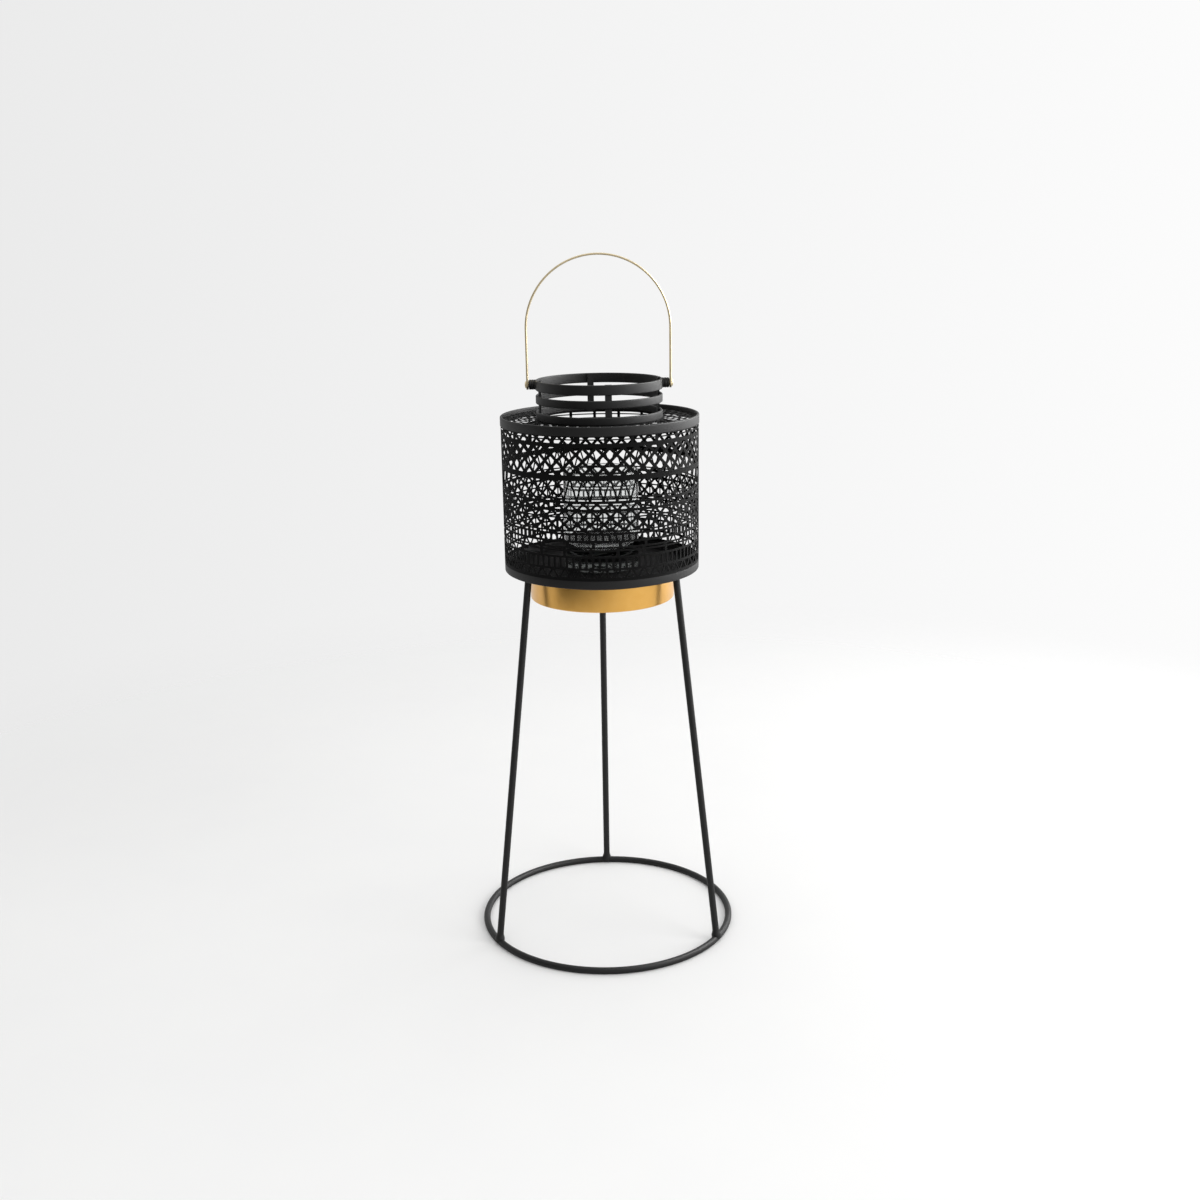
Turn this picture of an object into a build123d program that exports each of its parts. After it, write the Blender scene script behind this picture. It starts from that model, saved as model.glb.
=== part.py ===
from build123d import *
import math
import os

# A candle lantern that nests in a three-legged floor stand of round bar.  Millimetres, +Z up, origin on the floor
# under the middle of the stand.  The two bail pivots lie along X, and the single rear leg stands at +Y.

# Stand, bent and welded from round bar
stand_bar = 7.0             # diameter of the legs and of the floor ring's bar
seat_bar = 5.0              # diameter of the seat ring's bar
floor_ring_radius = 132.0   # to the middle of the bar
seat_height = 391.5         # top of the seat ring above the floor
foot_play = 3.0             # between the seat ring and the lantern's foot inside it
floor_flat = 0.3            # how deep the floor ring is levelled underneath
weld_gap = 0.05             # between two bars that are welded together
leg_names = ("leg_back", "leg_left", "leg_right")
first_leg_angle = 90.0      # degrees from +X, to the rear leg

# Drum of the lantern
seat_clearance = 0.3        # between the seat ring and the floor plate that rests on it
drum_radius = 99.5          # outside of the pierced wall
wall = 1.0                  # sheet of the pierced wall
bottom_hoop_thickness = 1.6  # strip of the bottom hoop
top_hoop_thickness = 2.5    # flat bar of the top hoop
hoop_step = 0.5             # how far the top hoop stands proud of the wall
hoop_round = 1.0            # rounding of the free edges of the hoops and of the neck's bands
bottom_hoop_height = 8.2
top_hoop_height = 9.0
plate = 1.2                 # sheet of the floor plate and the top plate
plate_play = 0.1            # round the edge of a plate inside its hoop
top_plate_recess = 4.0      # top plate below the rim of the top hoop

# Pierced bands of the wall, from the bottom up
rail = 2.0                  # solid rail below most bands, and above the last one
wide_rail = 4.5             # solid rail below some bands
bar = 2.2                   # solid bar left between two openings
cut_margin = 2.0            # how far outside the wall an opening's cut starts
cell_count = 48             # zigzags and crosses round the drum
slot_count = 96             # upright slots round the drum
long_count = 24             # long level slots round the drum
zigzag_height = 9.0
tall_slot_height = 10.5
long_slot_height = 4.5
short_slot_height = 5.5
small_cross_height = 11.5
cross_height = 13.0
peak_height = 18.0
lattice_height = 27.0
rim_slot_height = 7.0

# Gold foot below the drum
foot_radius = 74.0
foot_height = 30.0
foot_sheet = 1.2
foot_lip = 5.0              # width of the lip turned in under the foot
foot_round = 0.9            # rounding of the foot's lower edge

# Neck on top of the drum: three flat bands on four uprights
neck_radius = 63.5          # outside of the bands
neck_band = 2.5             # thickness of the bands
neck_lower_height = 8.0
neck_lower_gap = 8.0
neck_middle_height = 8.0
neck_upper_gap = 5.0
neck_upper_height = 10.0
upright_width = 6.5
upright_thickness = 2.0
upright_play = 0.1          # between an upright and the bands round it
upright_turn = 8.5          # how far the uprights are turned from the bail pivots
upright_names = ("neck_upright_right", "neck_upright_back", "neck_upright_left", "neck_upright_front")
plate_ledge = 1.0           # top plate left showing inside the uprights

# Openings of the top plate
window_count = 24
window_margin = 4.0         # solid edge beside the neck and beside the hoop
window_bar = 3.0            # solid bar between two windows

# Bail, its two lugs and their rivets
lug_length = 6.6
lug_diameter = 10.0
lug_play = 0.05             # between a lug and the band that it is welded to
pivot_drop = 4.7            # pivot below the top of the neck
rivet_diameter = 4.0
rivet_fit = 0.05            # radial, in the eye of the bail and in the lug
rivet_head_diameter = 7.0
rivet_head_height = 1.4
rivet_round = 0.8           # rounding of the rivet heads
rivet_embed = 5.0           # length of the shank inside the lug
bail_play = 0.3             # between the lug, the bail and the rivet head
bail_thickness = 2.0
bail_width = 10.0
bail_rise = 127.0           # top of the bail above its pivots

# Glass cup standing on the floor plate
glass_radius = 38.0
glass_height = 100.0
glass_wall = 2.6
glass_base = 14.0
glass_corner = 6.0          # rounding where the inside wall meets the inside bottom
glass_edge = 1.2            # rounding of the rim and of the outside bottom edge, under half the wall
glass_clearance = 0.3       # between the glass and the floor plate

# Heights and radii that follow from the sizes above
seat_ring_radius = foot_radius + foot_play + seat_bar / 2
floor_ring_z = stand_bar / 2 - floor_flat
seat_ring_z = seat_height - seat_bar / 2
lantern_base = seat_height + seat_clearance
floor_plate_top = lantern_base + plate
wall_base = lantern_base + bottom_hoop_height
top_hoop_outside = drum_radius + hoop_step
bottom_hoop_inside = drum_radius - bottom_hoop_thickness
top_hoop_inside = top_hoop_outside - top_hoop_thickness
neck_inside = neck_radius - neck_band
upright_outside = neck_inside - upright_play
top_plate_inside = upright_outside - upright_thickness - plate_ledge
lug_face = neck_radius + lug_length
bail_inside = lug_face + bail_play
bail_outside = bail_inside + bail_thickness
rivet_head_face = bail_outside + bail_play

os.makedirs("parts", exist_ok=True)


def save(piece, name):
    """Label a finished piece and write it to its own file."""
    piece.label = name
    export_step(piece, f"parts/{name}.step")


def upright_plane(angle):
    """The plane through the axis at an angle from +X, with x running outwards and y running up."""
    turn = math.radians(angle)
    return Plane(origin=(0, 0, 0), x_dir=(math.cos(turn), math.sin(turn), 0),
                 z_dir=(math.sin(turn), -math.cos(turn), 0))


def facing_plane(angle, radius):
    """The upright plane that faces outwards at an angle and radius, with x to the side and y up."""
    turn = math.radians(angle)
    return Plane(origin=(radius * math.cos(turn), radius * math.sin(turn), 0),
                 x_dir=(-math.sin(turn), math.cos(turn), 0), z_dir=(math.cos(turn), math.sin(turn), 0))


def band(inside, outside, low, high, rounded):
    """A flat hoop between two radii and two heights, with its lower edge, upper edge or both rounded."""
    with BuildPart() as hoop:
        with BuildSketch(Plane.XY.offset(low)):
            Circle(outside)
            Circle(inside, mode=Mode.SUBTRACT)
        extrude(amount=high - low)
        edges = hoop.edges().filter_by(GeomType.CIRCLE).group_by(Axis.Z)
        fillet([edge for level in rounded for edge in edges[level]],
               radius=min(hoop_round, 0.4 * (outside - inside)))
    return hoop.part


def bar_ring(radius, height, diameter):
    """A ring of round bar, by the radius and the height of the middle of the bar and the bar's diameter."""
    with BuildPart() as ring:
        with BuildSketch(Plane.XZ):
            with Locations((radius, height)):
                Circle(diameter / 2)
        revolve(axis=Axis.Z)
    return ring.part


# Floor ring, levelled underneath where it stands, and seat ring of the stand
with BuildPart() as floor_ring:
    add(bar_ring(floor_ring_radius, floor_ring_z, stand_bar))
    split(bisect_by=Plane.XY, keep=Keep.TOP)
save(floor_ring.part, "floor_ring")
save(bar_ring(seat_ring_radius, seat_ring_z, seat_bar), "seat_ring")

# Legs: each stands coped on the floor ring, leans in and is welded to the outside of the seat ring
leg_rise = seat_ring_z - floor_ring_z
leg_offset = (stand_bar + seat_bar) / 2 + weld_gap
leg_run = floor_ring_radius - seat_ring_radius - leg_offset
leg_lean = math.atan2(leg_run, leg_rise)
leg_top_radius = seat_ring_radius + leg_offset / math.cos(leg_lean)
leg_slope = (leg_top_radius - floor_ring_radius) / leg_rise


def leg(angle):
    """One leg, as a straight bar coped over the floor ring and cut level with the seat ring."""
    spare = stand_bar
    top = (leg_top_radius + leg_slope * spare, seat_ring_z + spare)
    with BuildPart() as straight:
        with BuildLine(upright_plane(angle)) as axis:
            Line((floor_ring_radius, floor_ring_z), top)
        with BuildSketch(Plane(origin=axis.line @ 0, z_dir=axis.line % 0)):
            Circle(stand_bar / 2)
        sweep(path=axis.line)
        split(bisect_by=Plane.XY.offset(seat_height), keep=Keep.BOTTOM)
        with BuildSketch(Plane.XZ):
            with Locations((floor_ring_radius, floor_ring_z)):
                Circle(stand_bar / 2 + weld_gap)
        revolve(axis=Axis.Z, mode=Mode.SUBTRACT)
    return straight.part


for index, name in enumerate(leg_names):
    save(leg(first_leg_angle + 360 * index / len(leg_names)), name)

# Floor plate and the hoop round it
lower_edge, upper_edge = 0, -1
save(band(bottom_hoop_inside, drum_radius, lantern_base, wall_base, [lower_edge]), "bottom_hoop")
with BuildPart() as floor_plate:
    with BuildSketch(Plane.XY.offset(lantern_base)):
        Circle(bottom_hoop_inside - plate_play)
    extrude(amount=plate)
save(floor_plate.part, "floor_plate")

# Gold foot: a drum of sheet under the floor plate, with a lip turned in at the bottom
foot_base = lantern_base - foot_height
with BuildPart() as foot_band:
    with BuildSketch(Plane.XY.offset(foot_base)):
        Circle(foot_radius)
        Circle(foot_radius - foot_sheet, mode=Mode.SUBTRACT)
    extrude(amount=foot_height)
    with BuildSketch(Plane.XY.offset(foot_base)):
        Circle(foot_radius)
        Circle(foot_radius - foot_lip, mode=Mode.SUBTRACT)
    extrude(amount=foot_sheet)
    outer_edge = foot_band.edges().filter_by(GeomType.CIRCLE).group_by(Axis.Z)[0].sort_by(SortBy.RADIUS)[-1]
    fillet(outer_edge, radius=foot_round)
save(foot_band.part, "foot_band")

# Openings of the pierced wall, each drawn in the plane that faces outwards at its own angle.  A band gives
# the outlines of one repeat, with the share of the repeat by which each is shifted round the drum.


def slots(low, high, pitch):
    """One rectangle in each repeat."""
    half = (pitch - bar) / 2
    return [([(-half, low), (half, low), (half, high), (-half, high)], 0.0)]


def triangle(base, point, width):
    """A triangle from a level base to its point above or below."""
    return [(-width / 2, base), (width / 2, base), (0, point)]


def diamond(low, high, width):
    """A diamond between two heights."""
    middle = (low + high) / 2
    return [(0, low), (width / 2, middle), (0, high), (-width / 2, middle)]


def zigzag(low, high, pitch):
    """The openings that one zigzag bar leaves in a repeat: one triangle up and one down."""
    width = pitch - bar * math.hypot(pitch / 2, high - low) / (high - low)
    return [(triangle(low, high, width), 0.0), (triangle(high, low, width), 0.5)]


def crosses(low, high, pitch):
    """The openings that two crossing bars leave in a repeat: two triangles and the diamond beside them."""
    middle = (low + high) / 2
    slant = math.hypot(pitch, high - low)
    width = pitch - bar * slant / (high - low)
    lift = bar / 2 * slant / pitch
    return [(triangle(low, middle - lift, width), 0.0), (triangle(high, middle + lift, width), 0.0),
            (diamond(low + lift, high - lift, width), 0.5)]


def lattice(low, high, pitch):
    """Two rows of crosses with no rail between them, so that a diamond spans both rows."""
    middle = (low + high) / 2
    first_crossing = (low + middle) / 2
    second_crossing = (middle + high) / 2
    slant = math.hypot(pitch, middle - low)
    width = pitch - bar * slant / (middle - low)
    lift = bar / 2 * slant / pitch
    return [(triangle(low, first_crossing - lift, width), 0.0),
            (triangle(high, second_crossing + lift, width), 0.0),
            (diamond(first_crossing + lift, second_crossing - lift, width), 0.0),
            (diamond(low + lift, middle - lift, width), 0.5),
            (diamond(middle + lift, high - lift, width), 0.5)]


# Bands from the bottom hoop up: the rail below, the height, the openings and how often they repeat.  Their
# heights set the height of the wall.
bands = [(rail, zigzag_height, zigzag, cell_count),
         (rail, tall_slot_height, slots, slot_count),
         (rail, long_slot_height, slots, long_count),
         (wide_rail, long_slot_height, slots, long_count),
         (rail, short_slot_height, slots, slot_count),
         (wide_rail, small_cross_height, crosses, cell_count),
         (rail, cross_height, crosses, cell_count),
         (wide_rail, peak_height, zigzag, cell_count),
         (rail, lattice_height, lattice, cell_count),
         (rail, rim_slot_height, slots, long_count)]
wall_top = wall_base + sum(below + height for below, height, openings, count in bands) + rail

# Pierced wall of the drum, rolled from sheet
cut_depth = wall + 3 * cut_margin
with BuildPart() as drum_shade:
    with BuildSketch(Plane.XY.offset(wall_base)):
        Circle(drum_radius)
        Circle(drum_radius - wall, mode=Mode.SUBTRACT)
    extrude(amount=wall_top - wall_base)
    low = wall_base
    for below, height, openings, count in bands:
        low += below
        outlines = openings(low, low + height, 2 * math.pi * drum_radius / count)
        low += height
        for repeat in range(count):
            for outline, shift in outlines:
                with BuildSketch(facing_plane(360 * (repeat + shift) / count, drum_radius + cut_margin)):
                    Polygon(*outline, align=None)
    extrude(amount=-cut_depth, mode=Mode.SUBTRACT)
save(drum_shade.part, "drum_shade")

# Top hoop standing on the wall, and the pierced top plate held inside it
rim_height = wall_top + top_hoop_height
save(band(top_hoop_inside, top_hoop_outside, wall_top, rim_height, [upper_edge]), "top_hoop")
neck_base = rim_height - top_plate_recess
window_inside = neck_radius + window_margin
window_outside = top_hoop_inside - window_margin
with BuildPart() as top_plate:
    with BuildSketch(Plane.XY.offset(neck_base - plate)):
        Circle(top_hoop_inside - plate_play)
        Circle(top_plate_inside, mode=Mode.SUBTRACT)
        with PolarLocations(0, window_count):
            inner_half = math.pi * window_inside / window_count - window_bar / 2
            outer_half = math.pi * window_outside / window_count - window_bar / 2
            Polygon((window_inside, -inner_half), (window_outside, -outer_half),
                    (window_outside, outer_half), (window_inside, inner_half),
                    align=None, mode=Mode.SUBTRACT)
    extrude(amount=plate)
save(top_plate.part, "top_plate")

# Neck: three bands, the lowest one on the top plate, and the four uprights inside them
neck_middle_base = neck_base + neck_lower_height + neck_lower_gap
neck_upper_base = neck_middle_base + neck_middle_height + neck_upper_gap
neck_top = neck_upper_base + neck_upper_height
neck_bands = {"neck_lower_ring": (neck_base, neck_lower_height),
              "neck_middle_ring": (neck_middle_base, neck_middle_height),
              "neck_upper_ring": (neck_upper_base, neck_upper_height)}
for name, (low, height) in neck_bands.items():
    save(band(neck_inside, neck_radius, low, low + height, [lower_edge, upper_edge]), name)


def neck_upright(angle):
    """A flat bar that stands on the top plate and is welded inside the three bands."""
    middle = upright_outside - upright_thickness / 2
    with BuildPart() as upright:
        with BuildSketch(Plane.XY.offset(neck_base)):
            Circle(upright_outside)
            Circle(upright_outside - upright_thickness, mode=Mode.SUBTRACT)
            with PolarLocations(middle, 1, start_angle=angle):
                Rectangle(2 * upright_thickness, upright_width, mode=Mode.INTERSECT)
        extrude(amount=neck_top - neck_base)
    return upright.part


for index, name in enumerate(upright_names):
    save(neck_upright(upright_turn + 360 * index / len(upright_names)), name)

# Lugs on the upper band that carry the bail, each drilled for its rivet
pivot_z = neck_top - pivot_drop


def lug(side):
    """A round barrel welded to the outside of the upper band, on the side given by the sign of x."""
    with BuildPart() as barrel:
        with BuildSketch(Plane.YZ.offset(side * neck_inside)):
            with Locations((0, pivot_z)):
                Circle(lug_diameter / 2)
        extrude(amount=side * (lug_face - neck_inside))
        with BuildSketch(Plane.XY):
            Circle(neck_radius + lug_play)
        extrude(amount=neck_top + lug_diameter, mode=Mode.SUBTRACT)
        with BuildSketch(Plane.YZ.offset(side * lug_face)):
            with Locations((0, pivot_z)):
                Circle(rivet_diameter / 2 + rivet_fit)
        extrude(amount=-side * rivet_embed, mode=Mode.SUBTRACT)
    return barrel.part


save(lug(-1), "bail_lug_left")
save(lug(1), "bail_lug_right")

# Rivets through the eyes of the bail, with low round heads on the outside
with BuildPart() as bail_rivets:
    for side in (-1, 1):
        with BuildSketch(Plane.YZ.offset(side * rivet_head_face)):
            with Locations((0, pivot_z)):
                Circle(rivet_diameter / 2)
        extrude(amount=-side * (rivet_head_face - lug_face + rivet_embed))
        with BuildSketch(Plane.YZ.offset(side * rivet_head_face)):
            with Locations((0, pivot_z)):
                Circle(rivet_head_diameter / 2)
        extrude(amount=side * rivet_head_height)
    head_edges = bail_rivets.edges().filter_by(GeomType.CIRCLE).group_by(Axis.X)
    fillet(head_edges[0] + head_edges[-1], radius=rivet_round)
save(bail_rivets.part, "bail_rivets")

# Bail: a flat strip bent to two upright arms and a half-round arch
bail_foot = pivot_z - bail_width / 2
arch_z = pivot_z + bail_rise - bail_outside
with BuildPart() as bail_handle:
    with BuildSketch(Plane.XZ):
        with Locations((0, arch_z)):
            Circle(bail_outside)
        with Locations((0, (bail_foot + arch_z) / 2)):
            Rectangle(2 * bail_outside, arch_z - bail_foot)
        with Locations((0, arch_z)):
            Circle(bail_inside, mode=Mode.SUBTRACT)
        with Locations((0, (bail_foot + arch_z) / 2)):
            Rectangle(2 * bail_inside, arch_z - bail_foot, mode=Mode.SUBTRACT)
    extrude(amount=bail_width / 2, both=True)
    with BuildSketch(Plane.YZ):
        with Locations((0, pivot_z)):
            Circle(bail_width / 2)
        with Locations((0, pivot_z + bail_rise / 2)):
            Rectangle(bail_width, bail_rise)
        with Locations((0, pivot_z)):
            Circle(rivet_diameter / 2 + rivet_fit, mode=Mode.SUBTRACT)
    extrude(amount=bail_outside + bail_thickness, both=True, mode=Mode.INTERSECT)
save(bail_handle.part, "bail_handle")

# Glass cup with a heavy bottom, standing loose on the floor plate
glass_foot = floor_plate_top + glass_clearance
with BuildPart() as candle_glass:
    with BuildSketch(Plane.XY.offset(glass_foot)):
        Circle(glass_radius)
    extrude(amount=glass_height)
    fillet(candle_glass.edges().group_by(Axis.Z)[0], radius=glass_edge)
    with BuildSketch(Plane.XY.offset(glass_foot + glass_height)):
        Circle(glass_radius - glass_wall)
    extrude(amount=-(glass_height - glass_base), mode=Mode.SUBTRACT)
    inside_bottom = candle_glass.faces().filter_by(Axis.Z).sort_by(Axis.Z)[1]
    fillet(inside_bottom.edges(), radius=glass_corner)
    fillet(candle_glass.edges().group_by(Axis.Z)[-1], radius=glass_edge)
save(candle_glass.part, "candle_glass")
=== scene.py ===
import math

import bpy
import numpy as np
from mathutils import Matrix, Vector
from mathutils.geometry import delaunay_2d_cdt


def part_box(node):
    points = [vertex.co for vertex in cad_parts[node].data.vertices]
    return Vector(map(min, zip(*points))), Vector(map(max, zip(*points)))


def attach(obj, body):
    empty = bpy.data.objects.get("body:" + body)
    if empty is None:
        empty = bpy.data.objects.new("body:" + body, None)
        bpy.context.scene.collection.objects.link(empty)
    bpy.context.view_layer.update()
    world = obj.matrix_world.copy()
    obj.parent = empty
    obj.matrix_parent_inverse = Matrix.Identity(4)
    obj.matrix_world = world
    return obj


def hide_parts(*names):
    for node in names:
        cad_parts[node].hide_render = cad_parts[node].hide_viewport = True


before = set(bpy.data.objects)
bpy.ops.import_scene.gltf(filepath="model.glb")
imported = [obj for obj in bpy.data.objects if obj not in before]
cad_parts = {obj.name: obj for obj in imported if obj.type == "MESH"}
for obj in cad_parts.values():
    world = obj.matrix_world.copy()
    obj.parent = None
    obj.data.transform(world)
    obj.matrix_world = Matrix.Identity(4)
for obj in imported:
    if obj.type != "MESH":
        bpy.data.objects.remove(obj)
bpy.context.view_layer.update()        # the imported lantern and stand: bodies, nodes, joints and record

MM = 0.001               # one millimetre in metres

# Camera
# The photograph's own camera: a pinhole 1.4 m in front of the lantern and a little above its rim, looking
# slightly down.  The picture is square and turned by about one degree, as it was taken by hand.
PICTURE_WIDTH = 1200             # pixels
FOCAL_LENGTH = 1425.5            # pixels
SENSOR_WIDTH = 36.0              # millimetres
CAMERA_PLACE = (-0.0004, -1.4318, 0.7276)
LOOK_DOWN = math.radians(14.55)
LOOK_ASIDE = math.radians(-0.09)
CAMERA_ROLL = math.radians(-0.98)


def placed(right, up, back, place):
    """A placing matrix from an object's own right, up and back directions and its place."""
    axes = np.eye(4)
    axes[:3] = np.column_stack([right, up, back, place])
    return Matrix(axes.tolist())


level_right = np.array([math.cos(LOOK_ASIDE), -math.sin(LOOK_ASIDE), 0.0])
forward = np.array([math.sin(LOOK_ASIDE) * math.cos(LOOK_DOWN),
                    math.cos(LOOK_ASIDE) * math.cos(LOOK_DOWN), -math.sin(LOOK_DOWN)])
level_up = np.cross(level_right, forward)
camera_right = math.cos(CAMERA_ROLL) * level_right + math.sin(CAMERA_ROLL) * level_up
camera_up = math.cos(CAMERA_ROLL) * level_up - math.sin(CAMERA_ROLL) * level_right
camera_data = bpy.data.cameras.new("photo_camera")
camera_data.sensor_fit = "HORIZONTAL"
camera_data.sensor_width = SENSOR_WIDTH
camera_data.lens = SENSOR_WIDTH * FOCAL_LENGTH / PICTURE_WIDTH
camera = bpy.data.objects.new("photo_camera", camera_data)
camera.matrix_world = placed(camera_right, camera_up, -forward, CAMERA_PLACE)
bpy.context.scene.collection.objects.link(camera)
bpy.context.scene.camera = camera

# Floor ring and seat ring of the stand
# Rings bent from round mild-steel bar, butt-welded, ground and powder coated black with the legs.  The floor
# ring is levelled underneath where it stands, and the lighter seat ring takes the lantern's foot.
FLOOR_FLAT = 0.3 * MM            # how deep the floor ring is levelled
RING_STEPS = 240
BAR_STEPS = 28
SHARP_ANGLE = math.radians(40)   # faces that meet at more than this show an edge


def linear_colour(code):
    """An sRGB hex code such as 1A1A1A as linear red, green, blue and alpha 1."""
    share = np.array([int(code[i:i + 2], 16) for i in (0, 2, 4)]) / 255
    linear = np.where(share <= 0.04045, share / 12.92, ((share + 0.055) / 1.055) ** 2.4)
    return (*linear.tolist(), 1.0)


def add_node(tree, kind, settings=None, links=None):
    """Adds a shader node, sets its sockets by name or number and its properties by name, and links the
    outputs of other nodes to its sockets."""
    node = tree.nodes.new(kind)
    for name, value in (settings or {}).items():
        if isinstance(name, int) or name in node.inputs.keys():
            node.inputs[name].default_value = value
        else:
            setattr(node, name, value)
    for name, output in (links or {}).items():
        tree.links.new(output, node.inputs[name])
    return node


def mix_colours(tree, share, first, second):
    """A node output between two colours: the first where the share is 0, the second where it is 1."""
    node = add_node(tree, "ShaderNodeMix", {"data_type": "RGBA"}, {"Factor": share})
    node.inputs[6].default_value = first
    node.inputs[7].default_value = second
    return node.outputs[2]


def new_material(name):
    """An empty node material, with its tree and its output's surface socket."""
    material = bpy.data.materials.new(name)
    material.use_nodes = True
    material.node_tree.nodes.clear()
    output = add_node(material.node_tree, "ShaderNodeOutputMaterial")
    return material, material.node_tree, output.inputs["Surface"]


def powder_coated_steel(name, shine, smoothest, roughest):
    """Black powder coat on steel: a baked polyester film, dark and broad in its gloss, with lumps about 1 mm
    across like orange peel and faint cloudy patches where the film is thinner."""
    material, tree, surface = new_material(name)
    place = add_node(tree, "ShaderNodeTexCoord")
    cloud = add_node(tree, "ShaderNodeTexNoise", {"Scale": 1 / (25 * MM), "Detail": 3.0},
                     {"Vector": place.outputs["Object"]})
    peel = add_node(tree, "ShaderNodeTexNoise", {"Scale": 1 / (1.1 * MM), "Detail": 1.0},
                    {"Vector": place.outputs["Object"]})
    colour = mix_colours(tree, cloud.outputs["Fac"], linear_colour("030303"), linear_colour("080808"))
    gloss = add_node(tree, "ShaderNodeMapRange", {"To Min": smoothest, "To Max": roughest},
                     {"Value": peel.outputs["Fac"]})
    bump = add_node(tree, "ShaderNodeBump", {"Strength": 0.25, "Distance": 0.06 * MM},
                    {"Height": peel.outputs["Fac"]})
    coat = add_node(tree, "ShaderNodeBsdfPrincipled", {"Specular IOR Level": shine},
                    {"Base Color": colour, "Roughness": gloss.outputs["Result"],
                     "Normal": bump.outputs["Normal"]})
    tree.links.new(coat.outputs["BSDF"], surface)
    return material


def grid_faces(rows, columns, close_rows=True, close_columns=True):
    """Quads over a grid of points, row after row, joined from the last back to the first where it closes."""
    row = np.arange(rows if close_rows else rows - 1)[:, None]
    column = np.arange(columns if close_columns else columns - 1)[None, :]
    next_row = (row + 1) % rows
    next_column = (column + 1) % columns
    corners = (row * columns + column, next_row * columns + column,
               next_row * columns + next_column, row * columns + next_column)
    return np.stack(corners, axis=-1).reshape(-1, 4).tolist()


def new_object(name, points, faces, material):
    """A mesh object from points in metres and faces, with one material."""
    mesh = bpy.data.meshes.new(name)
    mesh.from_pydata(np.asarray(points).reshape(-1, 3).tolist(), [], faces)
    mesh.materials.append(material)
    made = bpy.data.objects.new(name, mesh)
    bpy.context.scene.collection.objects.link(made)
    return made


def make_piece(name, points, faces, body, material):
    """A piece of the lantern or its stand, smooth but for its sharp edges, that moves with a body and takes
    the finish it is given."""
    piece = new_object(name, points, faces, material)
    piece.data.polygons.foreach_set("use_smooth", np.ones(len(piece.data.polygons), bool))
    piece.data.set_sharp_from_angle(angle=SHARP_ANGLE)
    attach(piece, body)
    return piece


def revolve(profile):
    """A profile of (radius, height) points, listed anticlockwise, turned about the Z axis: a point at angle a
    is (radius cos a, radius sin a, height)."""
    angle = np.linspace(0, 2 * np.pi, RING_STEPS, endpoint=False)[:, None]
    radius, height = profile[None, :, 0], profile[None, :, 1]
    return np.stack([radius * np.cos(angle), radius * np.sin(angle), height + 0 * angle], axis=-1)


def circle(radius, steps):
    """Points of a circle, anticlockwise."""
    angle = np.linspace(0, 2 * np.pi, steps, endpoint=False)
    return radius * np.stack([np.cos(angle), np.sin(angle)], axis=-1)


def ring_piece(name, profile, body, material):
    """A ring turned from a closed profile."""
    faces = grid_faces(RING_STEPS, len(profile))
    return make_piece(name, revolve(profile), faces, body, material)


black_steel = powder_coated_steel("satin_powder_coated_steel", shine=0.36, smoothest=0.5, roughest=0.65)
seat_low, seat_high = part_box("seat_ring")
floor_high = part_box("floor_ring")[1]
seat_bar = (seat_high.z - seat_low.z) / 2        # radius of the bar, as is the next
stand_bar = (floor_high.z + FLOOR_FLAT) / 2
seat_middle = np.array([seat_high.x - seat_bar, seat_high.z - seat_bar])
floor_middle = np.array([floor_high.x - stand_bar, floor_high.z - stand_bar])

floor_points = revolve(circle(stand_bar, BAR_STEPS) + floor_middle)
floor_points[..., 2] = np.maximum(floor_points[..., 2], 0.0)
floor_faces = grid_faces(RING_STEPS, BAR_STEPS)
floor_ring = make_piece("stand_floor_ring", floor_points, floor_faces, "stand", black_steel)
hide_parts("floor_ring")
seat_section = circle(seat_bar, BAR_STEPS) + seat_middle
seat_ring = ring_piece("stand_seat_ring", seat_section, "stand", black_steel)
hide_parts("seat_ring")

# Legs of the stand
# Three straight lengths of the floor ring's bar.  Each is coped onto that ring with a fillet weld all round,
# leans in, and is welded to the outside of the seat ring with one bead across.
LEG_STEPS = 80
LEG_CROWDING = 1.6               # crowds the steps towards the lower weld
FLARE = 1.5 * MM                 # how far the lower weld stands proud of the bar
FLARE_LENGTH = 3.2 * MM
BEAD = np.array([1.9, 3.9, 4.3]) * MM    # half sizes of the upper weld: outwards, sideways, up
BEAD_STEPS = 24
LEG_ANGLES = {"leg_back": 90, "leg_left": 210, "leg_right": 330}
UP = np.array([0.0, 0.0, 1.0])


def carry(path, side, face, profile):
    """A closed profile carried along a path: each point is path + first coordinate x side + second x face.
    With face x side along the path, a profile listed anticlockwise faces outwards."""
    return (path[:, None, :] + profile[..., 0, None] * side[:, None, :]
            + profile[..., 1, None] * face[:, None, :])


def ball(half_sizes, rows, columns):
    """An ellipsoid on a grid of latitude and longitude, with its poles cut very small and closed by caps."""
    latitude = np.linspace(-0.499 * np.pi, 0.499 * np.pi, rows)[:, None]
    longitude = np.linspace(0, 2 * np.pi, columns, endpoint=False)[None, :]
    unit = np.stack([np.cos(latitude) * np.cos(longitude), np.cos(latitude) * np.sin(longitude),
                     np.sin(latitude) + 0 * longitude], axis=-1)
    return unit * half_sizes


def capped_faces(rows, columns, flipped=False):
    """Quads along an open tube of rows x columns points, with one face over each end, flipped if asked."""
    faces = grid_faces(rows, columns, close_rows=False)
    faces.append(list(range(columns)))
    faces.append(list(range(rows * columns - 1, (rows - 1) * columns - 1, -1)))
    return [face[::-1] for face in faces] if flipped else faces


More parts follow.
